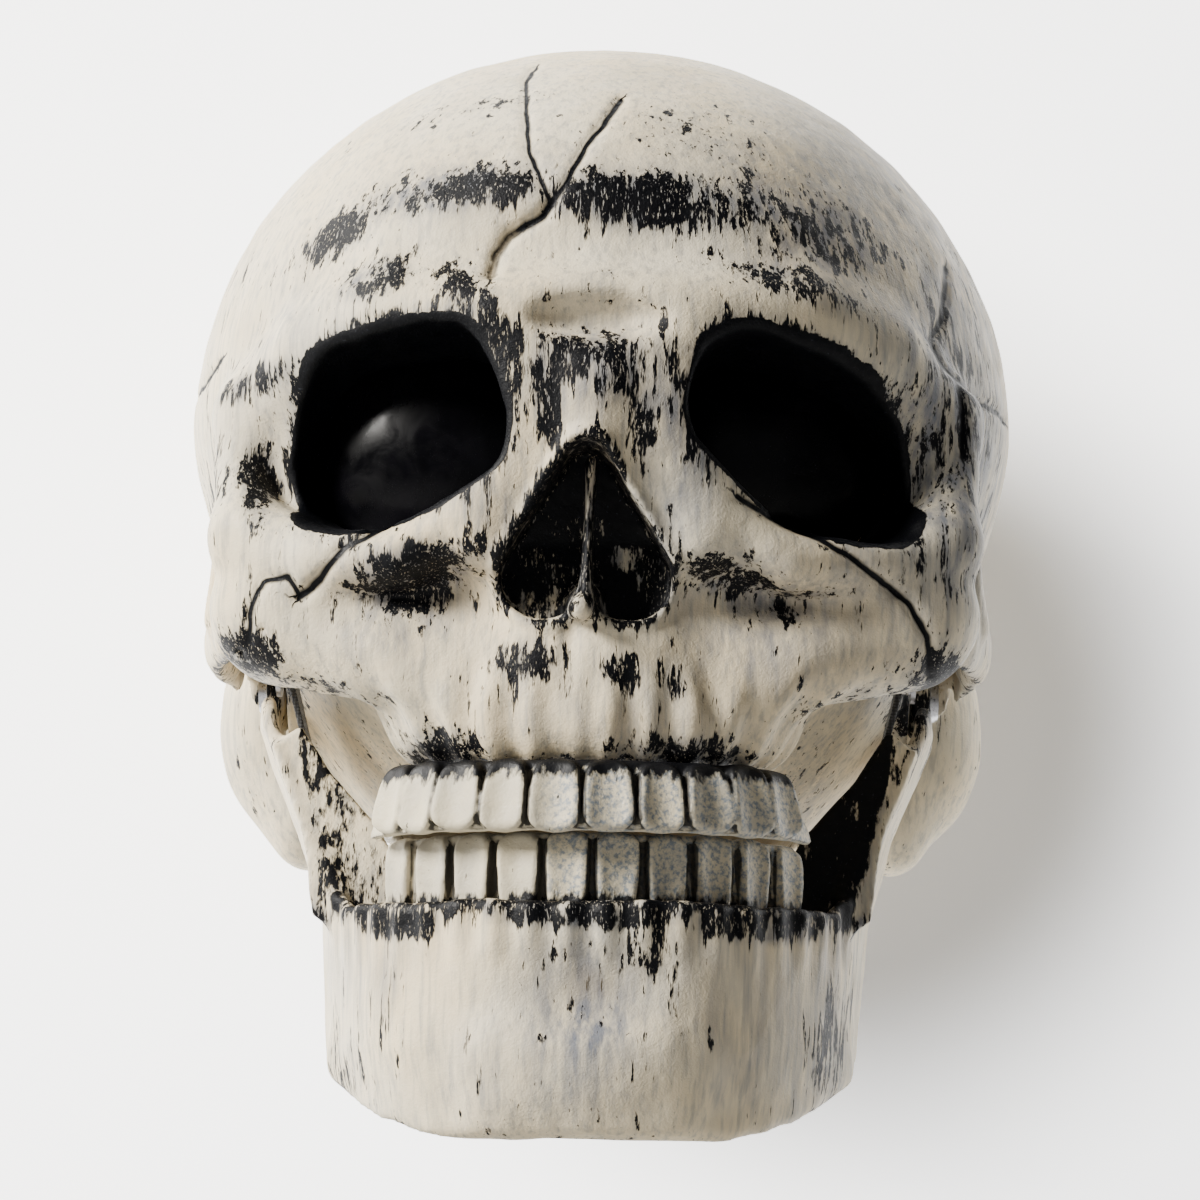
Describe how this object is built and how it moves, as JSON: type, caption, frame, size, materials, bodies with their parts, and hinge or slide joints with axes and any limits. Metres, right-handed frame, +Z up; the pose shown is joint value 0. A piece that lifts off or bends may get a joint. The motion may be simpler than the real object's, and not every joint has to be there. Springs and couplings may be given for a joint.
{
  "type": "latex halloween mask",
  "caption": "Full-head latex skull mask with black domed eyes, separate tooth rows, foam-padded braincase and a hinged lower jaw that a chin cup opens.",
  "frame": {"origin": "middle of the jaw hinge's axis, which is also about the middle of the wearer's head", "axes": "+Z up through the crown as worn, -Y out of the face, +X to the wearer's left"},
  "size_m": [0.2228, 0.249, 0.293],
  "materials": {
    "bone_latex": "satin",
    "teeth_latex": "satin",
    "lens_plastic": "gloss",
    "lens_ring_plastic": "matte",
    "foam": "matte",
    "webbing": "matte",
    "elastic": "matte",
    "nylon": "satin",
    "cup_leather": "satin",
    "steel": "brushed"
  },
  "bodies": {
    "skull": {"cranium_shell": "bone_latex", "upper_teeth": "teeth_latex", "eye_lens_left": "lens_plastic", "eye_lens_right": "lens_plastic", "lens_ring_left": "lens_ring_plastic", "lens_ring_right": "lens_ring_plastic", "forehead_pad": "foam", "crown_pad": "foam", "nape_pad": "foam", "temple_pad_left": "foam", "temple_pad_right": "foam", "head_strap_left": "webbing", "head_strap_right": "webbing", "strap_rivets": "steel", "hinge_plate_left": "steel", "hinge_plate_right": "steel", "hinge_post_left": "steel", "hinge_post_right": "steel", "hinge_washer_left": "nylon", "hinge_washer_right": "nylon", "hinge_screw_left": "steel", "hinge_screw_right": "steel", "return_band_left": "elastic", "return_band_right": "elastic", "band_anchors": "steel"},
    "jaw": {"jaw_shell": "bone_latex", "lower_teeth": "teeth_latex", "jaw_plate_left": "steel", "jaw_plate_right": "steel", "jaw_band_pins": "steel", "chin_cup": "cup_leather", "chin_cup_pad": "foam", "chin_strap": "webbing", "chin_rivets": "steel"}
  },
  "joints": [
    {"name": "jaw_hinge", "type": "hinge", "parent": "skull", "child": "jaw", "pos_m": [0, 0, 0], "axis": [1, 0, 0], "range_deg": [0, 20], "stiffness_Nm_per_rad": 0.5, "springref_deg": -20.05, "deforming": ["return_band_left", "return_band_right"]}
  ]
}
